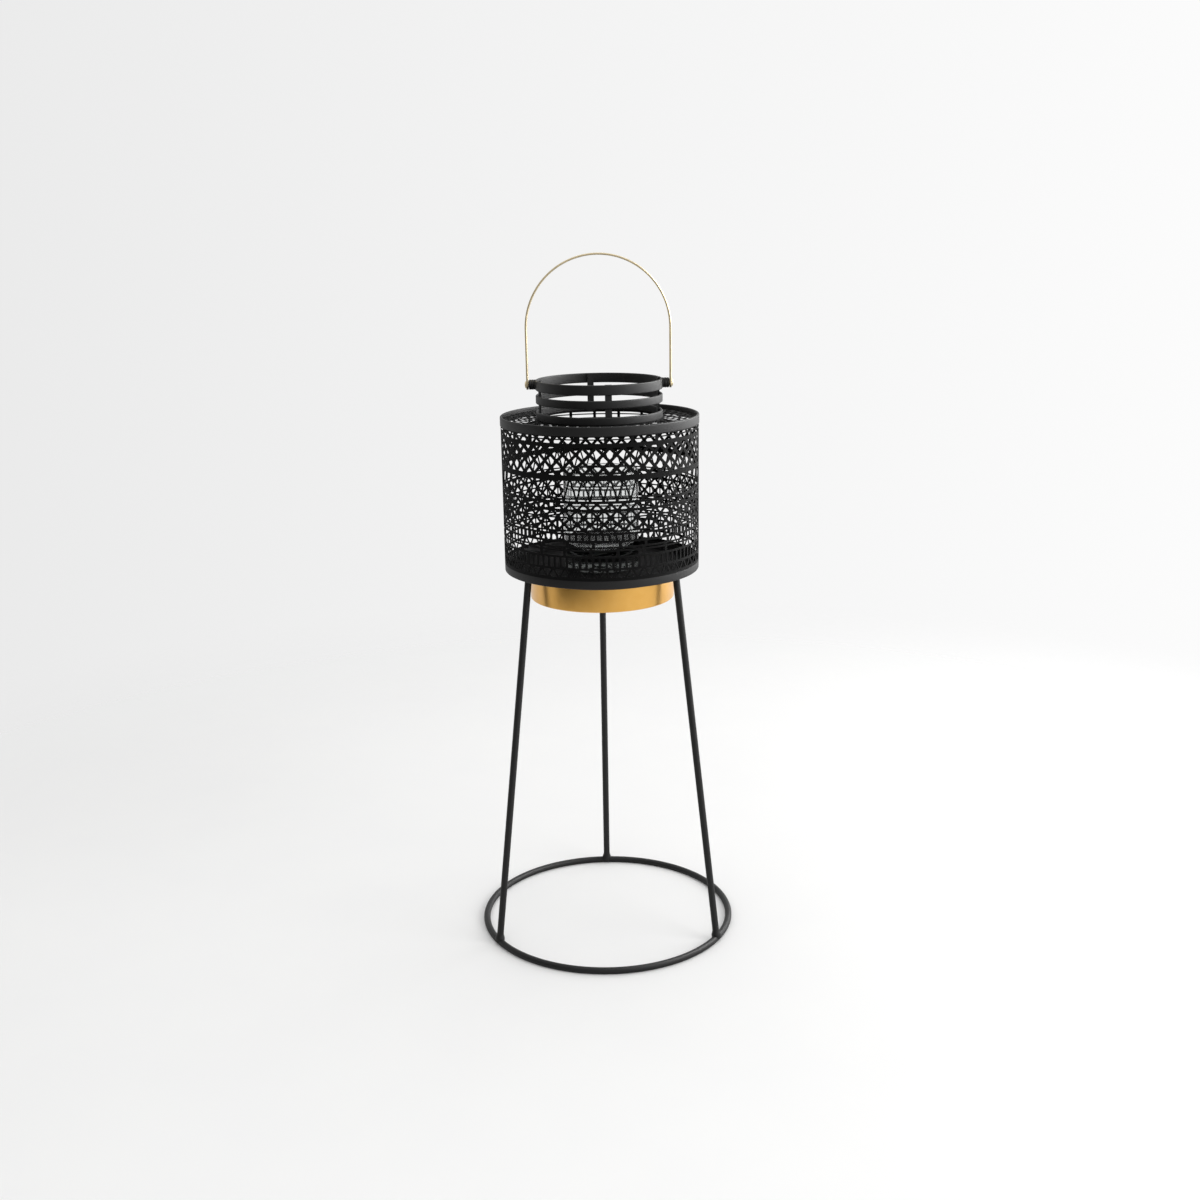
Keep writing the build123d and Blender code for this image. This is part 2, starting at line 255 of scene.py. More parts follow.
def join_shapes(*shapes):
    """Several shapes of points and faces as one: all the points in a row, and faces that count on."""
    points = [np.asarray(shape_points).reshape(-1, 3) for shape_points, shape_faces in shapes]
    starts = np.cumsum([0] + [len(shape_points) for shape_points in points]).tolist()
    faces = [[start + corner for corner in face]
             for start, (shape_points, shape_faces) in zip(starts, shapes) for face in shape_faces]
    return np.concatenate(points), faces


lean_in = seat_middle[0] + seat_bar + stand_bar - floor_middle[0]
rise = seat_middle[1] - floor_middle[1]
along = (1 + 2 * stand_bar / rise) * np.linspace(0, 1, LEG_STEPS) ** LEG_CROWDING
for node, degrees in LEG_ANGLES.items():
    outward = np.array([math.cos(math.radians(degrees)), math.sin(math.radians(degrees)), 0.0])
    sideways = np.array([-outward[1], outward[0], 0.0])
    direction = lean_in * outward + rise * UP
    axis = direction / np.linalg.norm(direction)
    across = np.cross(sideways, axis)
    path = floor_middle[0] * outward + floor_middle[1] * UP + along[:, None] * direction
    travelled = along * np.linalg.norm(direction)
    swell = stand_bar + FLARE * np.exp(-((travelled - stand_bar) / FLARE_LENGTH).clip(0) ** 2)
    section = circle(1.0, BAR_STEPS)[None, :, :] * swell[:, None, None]
    bar = carry(path, np.broadcast_to(sideways, path.shape), np.broadcast_to(across, path.shape), section)
    bar[..., 2] = np.minimum(bar[..., 2], seat_high.z)
    bead_middle = (seat_middle[0] + seat_bar) * outward + seat_middle[1] * UP
    bead = bead_middle + ball(BEAD, BEAD_STEPS, BEAD_STEPS) @ np.array([outward, sideways, UP])
    bead[..., 2] = np.minimum(bead[..., 2], seat_high.z)
    leg_points, leg_faces = join_shapes((bar, capped_faces(LEG_STEPS, BAR_STEPS)),
                                        (bead, capped_faces(BEAD_STEPS, BEAD_STEPS, flipped=True)))
    leg = make_piece("stand_" + node, leg_points, leg_faces, "stand", black_steel)
    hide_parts(node)

# Floor plate and bottom hoop of the lantern
# A sheet-steel disc, coated duller than the bars, closes the drum and rests on the seat ring.  The hoop round
# it is flat bar with its lower outer edge rounded, and the pierced wall is spot-welded inside its upper edge.
BOTTOM_HOOP_THICKNESS = 1.6 * MM
HOOP_ROUND = 1.0 * MM
EDGE_ROUND = 0.3 * MM
ARC_STEPS = 7


def rounded(corners, radii, steps=ARC_STEPS):
    """A closed outline whose corners are arcs: at each corner an arc of the given radius touches both sides,
    and its points run evenly from one touching point to the other round the arc's centre."""
    corners = np.asarray(corners, float)
    radii = np.broadcast_to(np.asarray(radii, float), len(corners))[:, None]
    back = np.roll(corners, 1, axis=0) - corners
    ahead = np.roll(corners, -1, axis=0) - corners
    back /= np.linalg.norm(back, axis=1, keepdims=True)
    ahead /= np.linalg.norm(ahead, axis=1, keepdims=True)
    half = np.arccos(np.clip((back * ahead).sum(1), -1, 1))[:, None] / 2
    middle = (back + ahead) / np.linalg.norm(back + ahead, axis=1, keepdims=True)
    centre = corners + middle * radii / np.sin(half)
    start = corners + back * radii / np.tan(half) - centre
    end = corners + ahead * radii / np.tan(half) - centre
    turn = (np.pi - 2 * half)[:, None]
    share = np.linspace(0, 1, steps)[None, :, None]
    arc = (start[:, None] * np.sin((1 - share) * turn) + end[:, None] * np.sin(share * turn)) / np.sin(turn)
    return (centre[:, None] + arc).reshape(-1, 2)


def ring_profile(inside, outside, low, high, radii):
    """The section of a flat ring, anticlockwise from its lower inside corner, with each corner's rounding."""
    return rounded([(inside, low), (outside, low), (outside, high), (inside, high)], radii)


def coat_node(node, material):
    """A finish for a piece that keeps its solid's own mesh."""
    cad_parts[node].data.materials.clear()
    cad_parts[node].data.materials.append(material)


dull_steel = powder_coated_steel("matt_powder_coated_steel", shine=0.1, smoothest=0.65, roughest=0.8)
hoop_low, hoop_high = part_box("bottom_hoop")
bottom_hoop_profile = ring_profile(hoop_high.x - BOTTOM_HOOP_THICKNESS, hoop_high.x, hoop_low.z, hoop_high.z,
                                   (EDGE_ROUND, HOOP_ROUND, EDGE_ROUND, EDGE_ROUND))
bottom_hoop = ring_piece("drum_bottom_hoop", bottom_hoop_profile, "lantern", black_steel)
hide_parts("bottom_hoop")
coat_node("floor_plate", dull_steel)

# Gold foot
# A band of thin sheet steel with a narrow lip turned in below, welded under the floor plate and sprayed with
# satin gold lacquer.  The rolled sheet is a little uneven, which bends its reflections into soft bands.
FOOT_SHEET = 1.2 * MM
FOOT_LIP = 5.0 * MM
FOOT_ROUND = 0.9 * MM
FOLD_ROUND = 0.4 * MM            # inside the fold of the lip
FOOT_EDGE = 0.2 * MM             # rounding of the cut edges
UNEVENNESS = 0.10 * MM           # of the rolled band
# Waves round the band: how many there are, their share of the unevenness, and the angle where they start.
FOOT_WAVES = ((7, 0.5, 0.6), (13, 0.3, 2.1), (22, 0.2, 0.0))


def gold_lacquered_steel():
    """Satin gold lacquer: fine metal flake in a clear film, warm and softly mirror-like, with faint level
    streaks from rolling and small cloudy differences in the flake."""
    material, tree, surface = new_material("gold_lacquered_steel")
    place = add_node(tree, "ShaderNodeTexCoord")
    cloud = add_node(tree, "ShaderNodeTexNoise", {"Scale": 1 / (9 * MM), "Detail": 4.0},
                     {"Vector": place.outputs["Object"]})
    stretch = add_node(tree, "ShaderNodeMapping", {"Scale": (1 / (30 * MM), 1 / (30 * MM), 1 / (0.6 * MM))},
                       {"Vector": place.outputs["Object"]})
    streak = add_node(tree, "ShaderNodeTexNoise", {"Scale": 1.0, "Detail": 2.0},
                      {"Vector": stretch.outputs["Vector"]})
    colour = mix_colours(tree, cloud.outputs["Fac"], linear_colour("E1AF5C"), linear_colour("D5A04A"))
    gloss = add_node(tree, "ShaderNodeMapRange", {"To Min": 0.26, "To Max": 0.40},
                     {"Value": streak.outputs["Fac"]})
    bump = add_node(tree, "ShaderNodeBump", {"Strength": 0.2, "Distance": 0.03 * MM},
                    {"Height": streak.outputs["Fac"]})
    lacquer = add_node(tree, "ShaderNodeBsdfPrincipled",
                       {"Metallic": 1.0, "Coat Weight": 0.4, "Coat Roughness": 0.3},
                       {"Base Color": colour, "Roughness": gloss.outputs["Result"],
                        "Normal": bump.outputs["Normal"]})
    tree.links.new(lacquer.outputs["BSDF"], surface)
    return material


gold_steel = gold_lacquered_steel()
foot_low, foot_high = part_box("foot_band")
foot_out = foot_high.x
foot_inside = foot_out - FOOT_SHEET
lip_inside = foot_out - FOOT_LIP
lip_top = foot_low.z + FOOT_SHEET
foot_profile = rounded([(lip_inside, foot_low.z), (foot_out, foot_low.z), (foot_out, foot_high.z),
                        (foot_inside, foot_high.z), (foot_inside, lip_top), (lip_inside, lip_top)],
                       (FOOT_EDGE, FOOT_ROUND, FOOT_EDGE, FOOT_EDGE, FOLD_ROUND, FOOT_EDGE))
foot_points = revolve(foot_profile)
around = np.linspace(0, 2 * np.pi, RING_STEPS, endpoint=False)[:, None]
waves = sum(share * np.sin(count * around + start) for count, share, start in FOOT_WAVES)
foot_points[..., :2] *= (1 + UNEVENNESS * (waves - 1) / foot_out)[..., None]
foot_faces = grid_faces(RING_STEPS, len(foot_profile))
foot_band = make_piece("gold_foot", foot_points, foot_faces, "lantern", gold_steel)
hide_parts("foot_band")

# Pierced wall of the drum
# One sheet of steel, pierced in level bands of zigzags, crosses, lattice and slots, rolled to a drum and
# coated matt black.  Between the bands run plain rails, and the cut corners are slightly rounded.
WALL_THICKNESS = 0.6 * MM
CUT_ROUND = 0.45                 # millimetres, as are the sizes of the openings
CUT_STEP = 3.2                   # longest straight step along a cut edge
SAME_POINT = 1e-5                # points nearer than this are one
BAR, FINE_BAR = 3.0, 2.3         # solid bar between two openings, in most bands and in the finer ones
BOX_BAR = 2.6                    # in the boxed crosses
CELLS, SLOTS, LONG_SLOTS = 48, 96, 24    # repeats round the drum


def slot_openings(low, high, pitch, bar):
    """One rectangle in each repeat, with the share of the repeat by which it is shifted."""
    half = (pitch - bar) / 2
    return [([(-half, low), (half, low), (half, high), (-half, high)], 0.0)]


def triangle(base, point, width):
    """A triangle from a level base to its point, listed anticlockwise."""
    corners = [(-width / 2, base), (width / 2, base), (0, point)]
    return corners if point > base else corners[::-1]


def diamond(low, high, width):
    """A diamond between two heights."""
    middle = (low + high) / 2
    return [(0, low), (width / 2, middle), (0, high), (-width / 2, middle)]


def zigzag_openings(low, high, pitch, bar):
    """What one zigzag bar leaves in a repeat: one triangle up and one down."""
    width = pitch - bar * math.hypot(pitch / 2, high - low) / (high - low)
    return [(triangle(low, high, width), 0.0), (triangle(high, low, width), 0.5)]


def cross_sizes(low, high, pitch, bar):
    """For bars crossing between two heights: the middle height, and the openings' width and lift off it."""
    slant = math.hypot(pitch, high - low)
    return (low + high) / 2, pitch - bar * slant / (high - low), bar / 2 * slant / pitch


def cross_box_openings(low, high, pitch, bar):
    """Crosses in boxes: crossing bars with an upright bar of half their width between one repeat and the
    next, which leave a triangle on each of the four sides."""
    inner = pitch - bar / 2
    middle, width, lift = cross_sizes(low, high, inner, bar)
    side = bar / 2 * math.hypot(inner, high - low) / (high - low)
    reach = (high - low) / 2 - lift
    left = [(-inner / 2, middle - reach), (-side, middle), (-inner / 2, middle + reach)]
    right = [(inner / 2, middle + reach), (side, middle), (inner / 2, middle - reach)]
    return [(triangle(low, middle - lift, width), 0.0), (triangle(high, middle + lift, width), 0.0),
            (left, 0.0), (right, 0.0)]


def cross_rail_openings(low, high, pitch, bar):
    """Crosses on a level rail at half height, which halves the diamond between one cross and the next."""
    middle, width, lift = cross_sizes(low, high, pitch, bar)
    half_rail = bar / 2
    shrunk = width * (1 - half_rail / ((high - low) / 2 - lift))
    return [(triangle(low, middle - lift, width), 0.0), (triangle(high, middle + lift, width), 0.0),
            (triangle(middle + half_rail, high - lift, shrunk), 0.5),
            (triangle(middle - half_rail, low + lift, shrunk), 0.5)]


def lattice_openings(low, high, pitch, bar):
    """Two rows of crosses with no rail between them, so that a diamond spans both rows."""
    middle = (low + high) / 2
    first, width, lift = cross_sizes(low, middle, pitch, bar)
    second = high - (first - low)
    return [(triangle(low, first - lift, width), 0.0), (triangle(high, second + lift, width), 0.0),
            (diamond(first + lift, second - lift, width), 0.0),
            (diamond(low + lift, middle - lift, width), 0.5),
            (diamond(middle + lift, high - lift, width), 0.5)]


def cut_outline(corners):
    """An opening's edge: its rounded outline with points added along the straight parts, so that a long edge
    follows the curve of the sheet.  The added points lie at even lengths along the outline."""
    outline = rounded(corners, CUT_ROUND, steps=3)
    closed = np.vstack([outline, outline[:1]])
    length = np.concatenate([[0], np.cumsum(np.linalg.norm(np.diff(closed, axis=0), axis=1))])
    count = math.ceil(length[-1] / CUT_STEP)
    marks = np.union1d(length[:-1].round(4), (np.arange(count) * length[-1] / count).round(4))
    marks = marks[np.concatenate([[True], np.diff(marks) > 0.25 * CUT_ROUND])]
    return np.stack([np.interp(marks, length, closed[:, 0]), np.interp(marks, length, closed[:, 1])], axis=-1)


def openings_round(band_openings, low, high, count, bar, start, radius):
    """All the openings of a band as arrays of (angle, height): one repeat's outlines, copied at even angles
    from a start that is given in repeats."""
    pitch = 2 * math.pi * radius / count
    cut = []
    for corners, shift in band_openings(low, high, pitch, bar):
        outline = cut_outline(corners)
        repeat = (np.arange(count) + start + shift)[:, None]
        angle = repeat * 2 * math.pi / count + outline[None, :, 0] / radius
        cut.append(np.stack([angle, outline[None, :, 1] + 0 * angle], axis=-1))
    return cut


def pierced_sheet(cuts, inner, outer, rim_steps):
    """Triangles of a flat ring between two radii less its openings, given as (angle, radius) outlines: the
    outlines are edges of a Delaunay triangulation, and the triangles inside them are left out."""
    rim = np.linspace(0, 2 * np.pi, rim_steps, endpoint=False)
    outer_rim = np.stack([rim, 0 * rim + outer], axis=-1)
    inner_rim = np.stack([rim, 0 * rim + inner], axis=-1)
    outlines = [inner_rim[None]] + [cut[:, ::-1] for cut in cuts]
    polar = np.concatenate([outer_rim] + [cut.reshape(-1, 2) for cut in outlines])
    faces = []
    start = rim_steps
    for cut in outlines:
        numbers = start + np.arange(cut.shape[0] * cut.shape[1]).reshape(cut.shape[:2])
        faces += numbers.tolist()
        start += numbers.size
    corner = np.arange(rim_steps)
    rim_edges = np.stack([corner, (corner + 1) % rim_steps], axis=-1).tolist()
    flat = polar[:, 1:] * np.stack([np.cos(polar[:, 0]), np.sin(polar[:, 0])], axis=-1)
    points, edges, triangles, from_points, from_edges, from_faces = delaunay_2d_cdt(
        flat.tolist(), rim_edges, faces, 0, SAME_POINT)
    kept = [list(face) for face, openings in zip(triangles, from_faces) if not openings]
    return np.array([tuple(point) for point in points]), kept


def thick_sheet(front, back, triangles):
    """A closed sheet from matching front and back points: the triangles on both sides, and a quad across the
    thickness at every edge that belongs to one triangle only."""
    triangles = np.array(triangles)
    edges = np.concatenate([triangles[:, [0, 1]], triangles[:, [1, 2]], triangles[:, [2, 0]]])
    first, uses = np.unique(np.sort(edges, axis=1), axis=0, return_index=True, return_counts=True)[1:]
    rim = edges[first[uses == 1]]
    quads = np.column_stack([rim[:, ::-1], rim + len(front)])
    back_triangles = triangles[:, ::-1] + len(front)
    return np.concatenate([front, back]), triangles.tolist() + back_triangles.tolist() + quads.tolist()


wall_low, wall_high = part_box("drum_shade")
wall_radius = wall_high.x / MM
# Each band from the bottom up: its openings, lower edge, upper edge, repeats, bar, and start in repeats.
wall_bands = [(zigzag_openings, 3.2, 10.6, CELLS, BAR, 0.2),
              (slot_openings, 12.8, 22.6, SLOTS, FINE_BAR, 0.2),
              (slot_openings, 24.6, 29.2, LONG_SLOTS, BAR, 0.1),
              (slot_openings, 30.9, 32.2, LONG_SLOTS, BAR, 0.1),
              (slot_openings, 33.8, 37.8, LONG_SLOTS, BAR, 0.2),
              (slot_openings, 40.0, 45.2, SLOTS, FINE_BAR, 0.7),
              (slot_openings, 47.2, 48.6, CELLS, BAR, 0.5),
              (cross_box_openings, 50.0, 61.4, CELLS, BOX_BAR, 0.2),
              (cross_rail_openings, 62.8, 75.6, CELLS, FINE_BAR, 0.2),
              (slot_openings, 78.2, 79.6, CELLS, BAR, 0.7),
              (zigzag_openings, 81.0, 97.6, CELLS, BAR, 0.7),
              (lattice_openings, 102.8, 129.2, CELLS, BAR, 0.2),
              (slot_openings, 133.2, 136.2, LONG_SLOTS, BAR, 0.7),
              (slot_openings, 137.4, 139.0, LONG_SLOTS, BAR, 0.7)]
# The sheet is laid out as a flat ring whose middle radius is the drum's, so that it closes on itself.
wall_height = (wall_high.z - wall_low.z) / MM
layout_inner = wall_radius - wall_height / 2
wall_cuts = [cut + np.array([0, layout_inner]) for wall_band in wall_bands
             for cut in openings_round(*wall_band, wall_radius)]
wall_layout, wall_triangles = pierced_sheet(wall_cuts, layout_inner, layout_inner + wall_height, RING_STEPS)
layout_angle = np.arctan2(wall_layout[:, 1], wall_layout[:, 0])
wall_front = np.stack([wall_high.x * np.cos(layout_angle), wall_high.x * np.sin(layout_angle),
                       wall_low.z + (np.linalg.norm(wall_layout, axis=1) - layout_inner) * MM], axis=-1)
inward = 1 - WALL_THICKNESS / wall_high.x
wall_back = wall_front * np.array([inward, inward, 1])
wall_points, wall_faces = thick_sheet(wall_front, wall_back, [face[::-1] for face in wall_triangles])
drum_wall = make_piece("drum_pierced_wall", wall_points, wall_faces, "lantern", dull_steel)
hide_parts("drum_shade")

# Top hoop and pierced top plate
# The hoop is flat bar like the bottom one, with a rounded upper edge.  The plate is a flat ring of sheet,
# pierced with a lattice and a row of slots like the wall's, and welded inside the hoop just below its edge.
TOP_HOOP_THICKNESS = 2.5 * MM
TOP_ROUND = 1.15 * MM
PLATE_THICKNESS = 0.4 * MM
PLATE_MOUTH = 57.9               # millimetres, radius of the plate's open middle
PLATE_CELLS, PLATE_BAR = 40, 2.0
top_low, top_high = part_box("top_hoop")
top_hoop_profile = ring_profile(top_high.x - TOP_HOOP_THICKNESS, top_high.x, top_low.z, top_high.z,
                                (EDGE_ROUND, EDGE_ROUND, TOP_ROUND, TOP_ROUND))
top_hoop = ring_piece("drum_top_hoop", top_hoop_profile, "lantern", black_steel)
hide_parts("top_hoop")

plate_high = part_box("top_plate")[1]
plate_rim = plate_high.x / MM
plate_rows = [(lattice_openings, 65.5, 89.5, PLATE_CELLS, PLATE_BAR, 0.0),
              (slot_openings, 91.2, 95.2, CELLS, BAR, 0.0)]
plate_cuts = [cut for plate_row in plate_rows
              for cut in openings_round(*plate_row, (plate_row[1] + plate_row[2]) / 2)]
plate_layout, plate_triangles = pierced_sheet(plate_cuts, PLATE_MOUTH, plate_rim, RING_STEPS)
plate_front = np.column_stack([plate_layout * MM, np.full(len(plate_layout), plate_high.z)])
plate_points, plate_faces = thick_sheet(plate_front, plate_front - PLATE_THICKNESS * UP, plate_triangles)
top_plate = make_piece("drum_pierced_top", plate_points, plate_faces, "lantern", dull_steel)
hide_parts("top_plate")

# Neck
# Three flat bands of steel bar, rolled to rings with softened edges, welded round four short flat uprights
# that stand on the top plate.
NECK_BAND = 2.5 * MM
NECK_ROUND = 1.0 * MM
for node in ("neck_lower_ring", "neck_middle_ring", "neck_upper_ring"):
    band_low, band_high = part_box(node)
    band_profile = ring_profile(band_high.x - NECK_BAND, band_high.x, band_low.z, band_high.z, NECK_ROUND)
    neck_band = ring_piece(node + "_rolled", band_profile, "lantern", black_steel)
    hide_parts(node)
for node in ("neck_upright_front", "neck_upright_back", "neck_upright_left", "neck_upright_right"):
    coat_node(node, black_steel)

# Bail lugs and rivets
# Two short turned barrels, welded to the upper band and coated with it, carry the bail.  A pale gold rivet
# with a low round head goes through each eye of the bail into the barrel.
LUG_RIBS = 3
LUG_RIB_DEPTH = 0.35 * MM
LUG_SINK = 1.0 * MM              # how far a barrel runs into the band
LUG_END_ROUND = 0.9 * MM
LUG_END_SHARE = 0.12             # share of a barrel's length that is rounded off
LUG_STEPS = 49
RIVET_RADIUS = 2.0 * MM
RIVET_SHANK = 6.0 * MM
RIVET_HEAD = 1.4 * MM
RIVET_RIM = 0.35 * MM            # thickness of the head at its edge
DOME_STEPS = 12
DOME_END = 0.97                  # share of a quarter turn after which the dome is closed flat
TURN_STEPS = 40


def turned(profile, middle, side):
    """A profile of (length, radius) points turned about an axis along X: a point at angle a is
    (side x length, radius cos a, radius sin a) from the middle, with a face over each end."""
    angle = np.linspace(0, 2 * np.pi, TURN_STEPS, endpoint=False)[None, :]
    length = side * profile[:, :1]
    radius = profile[:, 1:]
    points = np.stack([length + 0 * angle, radius * np.cos(angle), radius * np.sin(angle)], axis=-1)
    return points + middle, capped_faces(len(profile), TURN_STEPS, flipped=side > 0)


def pale_gold_steel_finish():
    """Pale gold plating on brushed steel: bright, soft in its reflections, with fine lines lengthwise."""
    material, tree, surface = new_material("pale_gold_plated_steel")
    place = add_node(tree, "ShaderNodeTexCoord")
    stretch = add_node(tree, "ShaderNodeMapping", {"Scale": (1 / (60 * MM), 1 / (0.5 * MM), 1 / (60 * MM))},
                       {"Vector": place.outputs["Object"]})
    lines = add_node(tree, "ShaderNodeTexNoise", {"Scale": 1.0, "Detail": 2.0},
                     {"Vector": stretch.outputs["Vector"]})
    colour = mix_colours(tree, lines.outputs["Fac"], linear_colour("D4C5A4"), linear_colour("C6B692"))
    gloss = add_node(tree, "ShaderNodeMapRange", {"To Min": 0.24, "To Max": 0.42},
                     {"Value": lines.outputs["Fac"]})
    bump = add_node(tree, "ShaderNodeBump", {"Strength": 0.1, "Distance": 0.02 * MM},
                    {"Height": lines.outputs["Fac"]})
    plating = add_node(tree, "ShaderNodeBsdfPrincipled", {"Metallic": 1.0},
                       {"Base Color": colour, "Roughness": gloss.outputs["Result"],
                        "Normal": bump.outputs["Normal"]})
    tree.links.new(plating.outputs["BSDF"], surface)
    return material


pale_gold_steel = pale_gold_steel_finish()
rivet_low, rivet_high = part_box("bail_rivets")
pivot = np.array([0.0, 0.0, (rivet_low.z + rivet_high.z) / 2])
rivet_head_radius = (rivet_high.z - rivet_low.z) / 2
for side, name in ((-1, "left"), (1, "right")):
    lug_low, lug_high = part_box("bail_lug_" + name)
    lug_radius = (lug_high.z - lug_low.z) / 2
    lug_inner, lug_outer = sorted((abs(lug_low.x), abs(lug_high.x)))
    lug_start = lug_inner - LUG_SINK
    share = np.linspace(0, 1, LUG_STEPS)
    ribs = lug_radius - LUG_RIB_DEPTH * (1 - np.abs(np.sin(np.pi * LUG_RIBS * share)) ** 0.5)
    ribs -= LUG_END_ROUND * np.clip(1 - (1 - share) / LUG_END_SHARE, 0, 1) ** 2
    barrel_profile = np.column_stack([lug_start + share * (lug_outer - lug_start), ribs])
    barrel_points, barrel_faces = turned(barrel_profile, pivot, side)
    barrel = make_piece("bail_lug_barrel_" + name, barrel_points, barrel_faces, "lantern",
                        black_steel)
    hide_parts("bail_lug_" + name)

head_face = rivet_high.x - RIVET_HEAD
dome = np.linspace(0, 1, DOME_STEPS) * np.pi / 2
shank_profile = np.array([[head_face - RIVET_SHANK, RIVET_RADIUS], [head_face, RIVET_RADIUS],
                          [head_face, rivet_head_radius]])
dome_profile = np.column_stack([head_face + RIVET_RIM + (RIVET_HEAD - RIVET_RIM) * np.sin(dome),
                                rivet_head_radius * np.cos(DOME_END * dome)])
rivet_profile = np.concatenate([shank_profile, dome_profile])
rivet_points, rivet_faces = join_shapes(turned(rivet_profile, pivot, -1), turned(rivet_profile, pivot, 1))
rivets = make_piece("bail_rivet_pair", rivet_points, rivet_faces, "lantern", pale_gold_steel)
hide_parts("bail_rivets")

# Bail
# A flat strip of steel with softened edges, bent to two straight arms and a half-round arch, its ends rounded
# about the eyes, and finished in pale gold.
BAIL_THICKNESS = 2.0 * MM
BAIL_EDGE = 0.7 * MM
END_TIP = 0.12                   # share of a quarter turn left out at the tip of an end
ARM_STEPS, END_STEPS, ARCH_STEPS = 20, 10, 96
bail_low, bail_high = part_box("bail_handle")
half_width = (bail_high.y - bail_low.y) / 2
arch_radius = bail_high.x - BAIL_THICKNESS / 2
arch_height = bail_high.z - bail_high.x
end_share = 1 - np.cos(np.linspace(END_TIP, 1, END_STEPS) * np.pi / 2)
arm_height = np.concatenate([bail_low.z + half_width * end_share,
                             np.linspace(bail_low.z + half_width, arch_height, ARM_STEPS + 2)[1:-1]])
arm_width = np.concatenate([half_width * np.sqrt(1 - (1 - end_share) ** 2), np.full(ARM_STEPS, half_width)])
arch_angle = np.linspace(np.pi, 0, ARCH_STEPS)
bail_x = np.concatenate([np.full(len(arm_height), -arch_radius), arch_radius * np.cos(arch_angle),
                         np.full(len(arm_height), arch_radius)])
bail_z = np.concatenate([arm_height, arch_height + arch_radius * np.sin(arch_angle), arm_height[::-1]])
bail_width = np.concatenate([arm_width, np.full(ARCH_STEPS, half_width), arm_width[::-1]])
outward_angle = np.concatenate([np.full(len(arm_height), np.pi), arch_angle, np.zeros(len(arm_height))])
bail_path = np.stack([bail_x, 0 * bail_x, bail_z], axis=-1)
bail_outward = np.stack([np.cos(outward_angle), 0 * outward_angle, np.sin(outward_angle)], axis=-1)
bail_across = np.broadcast_to(np.array([0.0, 1.0, 0.0]), bail_path.shape)
strip = rounded([(-half_width, -BAIL_THICKNESS / 2), (half_width, -BAIL_THICKNESS / 2),
                 (half_width, BAIL_THICKNESS / 2), (-half_width, BAIL_THICKNESS / 2)], BAIL_EDGE, steps=4)
narrowing = np.stack([bail_width / half_width, np.ones_like(bail_width)], axis=-1)
bail_points = carry(bail_path, bail_across, bail_outward, strip[None] * narrowing[:, None, :])
bail_faces = capped_faces(len(bail_path), len(strip))
bail = make_piece("bail_strip", bail_points, bail_faces, "bail", pale_gold_steel)
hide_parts("bail_handle")

# Candle glass
# A machine-blown cup of clear soda-lime glass with a heavy bottom, a fire-polished rim and a shallow hollow
# underneath.  It stands loose on the floor plate.
GLASS_WALL = 1.5 * MM
GLASS_BASE = 14.0 * MM
GLASS_CORNER = 16.0 * MM         # rounding inside the bottom
GLASS_RIM = 0.7 * MM
GLASS_HEEL = 1.4 * MM            # rounding outside the bottom
HOLLOW_DEPTH = 0.4 * MM          # of the underside in the middle
HOLLOW_RADIUS = 0.72             # share of the glass's radius
HOLLOW_EDGE = 0.4                # share of the depth at that radius
HOLLOW_SLOPE = 2.5 * MM          # width from there to the ring that stands
HOLLOW_ROUND, STANDING_ROUND = 1.5 * MM, 1.0 * MM
ON_AXIS = 0.02 * MM              # radius that stands for the axis, too small to see


def clear_glass_finish():
    """Clear soda-lime glass: almost colourless in the wall and darker through the heavy bottom, with
    slow ripples left by blowing, about 14 mm apart."""
    material, tree, surface = new_material("clear_soda_lime_glass")
    place = add_node(tree, "ShaderNodeTexCoord")
    ripple = add_node(tree, "ShaderNodeTexNoise", {"Scale": 1 / (14 * MM), "Detail": 0.0},
                      {"Vector": place.outputs["Object"]})
    bump = add_node(tree, "ShaderNodeBump", {"Strength": 0.05, "Distance": 0.2 * MM},
                    {"Height": ripple.outputs["Fac"]})
    tint = mix_colours(tree, ripple.outputs["Fac"], linear_colour("FDFEFE"), linear_colour("F9FBFA"))
    glass = add_node(tree, "ShaderNodeBsdfPrincipled",
                     {"Roughness": 0.0, "IOR": 1.52, "Transmission Weight": 1.0},
                     {"Base Color": tint, "Normal": bump.outputs["Normal"]})
    tree.links.new(glass.outputs["BSDF"], surface)
    depth = add_node(tree, "ShaderNodeVolumeAbsorption", {"Color": linear_colour("AEB0AF"), "Density": 55.0})
    tree.links.new(depth.outputs["Volume"], tree.nodes["Material Output"].inputs["Volume"])
    return material


clear_glass = clear_glass_finish()
glass_low, glass_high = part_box("candle_glass")
glass_out = glass_high.x
glass_in = glass_out - GLASS_WALL
glass_floor = glass_low.z + GLASS_BASE
hollow_out = HOLLOW_RADIUS * glass_out
# The section out along the underside, up the outside, over the rim and down the inside: each corner's radius
# from the axis, height and rounding.
glass_corners = np.array([(ON_AXIS, glass_low.z + HOLLOW_DEPTH, ON_AXIS / 4),
                          (hollow_out, glass_low.z + HOLLOW_EDGE * HOLLOW_DEPTH, HOLLOW_ROUND),
                          (hollow_out + HOLLOW_SLOPE, glass_low.z, STANDING_ROUND),
                          (glass_out, glass_low.z, GLASS_HEEL),
                          (glass_out, glass_high.z, GLASS_RIM),
                          (glass_in, glass_high.z, GLASS_RIM),
                          (glass_in, glass_floor, GLASS_CORNER),
                          (ON_AXIS, glass_floor, ON_AXIS / 4)])
glass_profile = rounded(glass_corners[:, :2], glass_corners[:, 2], steps=10)
candle_glass = ring_piece("candle_glass_cup", glass_profile, "glass", clear_glass)
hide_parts("candle_glass")
